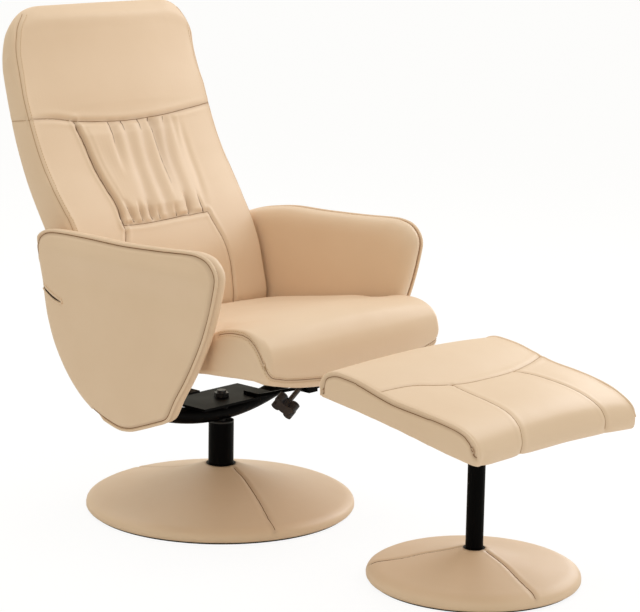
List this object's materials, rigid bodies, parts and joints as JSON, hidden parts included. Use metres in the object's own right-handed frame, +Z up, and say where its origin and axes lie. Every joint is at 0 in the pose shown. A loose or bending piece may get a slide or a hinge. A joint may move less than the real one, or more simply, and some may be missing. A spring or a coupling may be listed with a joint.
{
  "type": "swivel recliner with footstool",
  "caption": "Padded leatherette recliner that swivels on a round covered disc base, with shield-shaped arms, a hand knob under the seat, and a matching footstool on its own disc base.",
  "frame": {"origin": "on the floor, on the chair's swivel axis, at the centre of the chair's round base", "axes": "+Z up, the chair faces -Y towards its footstool, +X to the right seen from the front"},
  "size_m": [0.568, 1.2124, 0.976],
  "materials": {
    "leatherette": "satin beige leatherette",
    "black_steel": "satin black paint",
    "plywood": "raw plywood",
    "rubber_pad": "matte",
    "nylon": "natural nylon",
    "knob_plastic": "matte charcoal",
    "zinc_steel": "zinc plated"
  },
  "bodies": {
    "chair_base": {"base_bolts": "zinc_steel", "base_collar": "black_steel", "base_cone_cover": "leatherette", "base_floor_pad": "rubber_pad", "base_socket": "black_steel", "base_weight": "black_steel", "column_tube": "black_steel", "lower_bush": "nylon", "upper_bush": "nylon"},
    "swivel_frame": {"arm_board_left": "plywood", "arm_board_right": "plywood", "arm_bolts": "zinc_steel", "arm_bracket_left": "black_steel", "arm_bracket_right": "black_steel", "arm_outer_panel_left": "leatherette", "arm_outer_panel_right": "leatherette", "arm_pad_left": "leatherette", "arm_pad_right": "leatherette", "clamp_arm": "black_steel", "clamp_block": "black_steel", "cradle_tube": "black_steel", "mount_plate": "black_steel", "pivot_pin_left": "zinc_steel", "pivot_pin_right": "zinc_steel", "plate_spacer": "black_steel", "rail_screws": "zinc_steel", "retaining_clip": "zinc_steel", "seat_rail_left": "black_steel", "seat_rail_right": "black_steel", "spindle": "zinc_steel", "spindle_nut": "zinc_steel", "thrust_washer": "nylon"},
    "backrest": {"back_cushion": "leatherette", "back_hinge_plate_left": "black_steel", "back_hinge_plate_right": "black_steel", "back_lower_cross_rail": "black_steel", "back_middle_cross_rail": "black_steel", "back_side_rail_left": "black_steel", "back_side_rail_right": "black_steel", "back_upper_cross_rail": "black_steel"},
    "seat": {"seat_board": "plywood", "seat_cushion": "leatherette", "seat_runner_left": "black_steel", "seat_runner_right": "black_steel", "clamp_rail": "black_steel"},
    "lock_knob": {"clamp_knob": "knob_plastic", "clamp_rod": "zinc_steel"},
    "footstool": {"stool_board": "plywood", "stool_bolts": "zinc_steel", "stool_collar": "black_steel", "stool_cone_cover": "leatherette", "stool_cushion": "leatherette", "stool_floor_pad": "rubber_pad", "stool_plate": "black_steel", "stool_post": "black_steel", "stool_screws": "zinc_steel", "stool_socket": "black_steel", "stool_weight": "black_steel"}
  },
  "joints": [
    {"name": "seat_swivel", "type": "hinge", "parent": "chair_base", "child": "swivel_frame", "pos_m": [0, 0, 0.12], "axis": [0, 0, 1], "continuous": true},
    {"name": "back_recline", "type": "hinge", "parent": "swivel_frame", "child": "backrest", "pos_m": [0, 0.16, 0.438], "axis": [-1, 0, 0], "range_deg": [0, 30]},
    {"name": "seat_glide", "type": "slide", "parent": "swivel_frame", "child": "seat", "axis": [0, -1, 0], "range_m": [0, 0.034]},
    {"name": "knob_turn", "type": "hinge", "parent": "swivel_frame", "child": "lock_knob", "pos_m": [0.06, -0.173, 0.277], "axis": [0.8192, 0, 0.5736], "range_deg": [-180, 180]},
    {"name": "footstool_shift", "type": "slide", "parent": "chair_base", "child": "footstool", "axis": [0, -1, 0], "range_m": [0, 0.5]}
  ],
  "couplings": [
    {"joint": "seat_glide", "follows": "back_recline", "m_per_rad": 0.064}
  ]
}
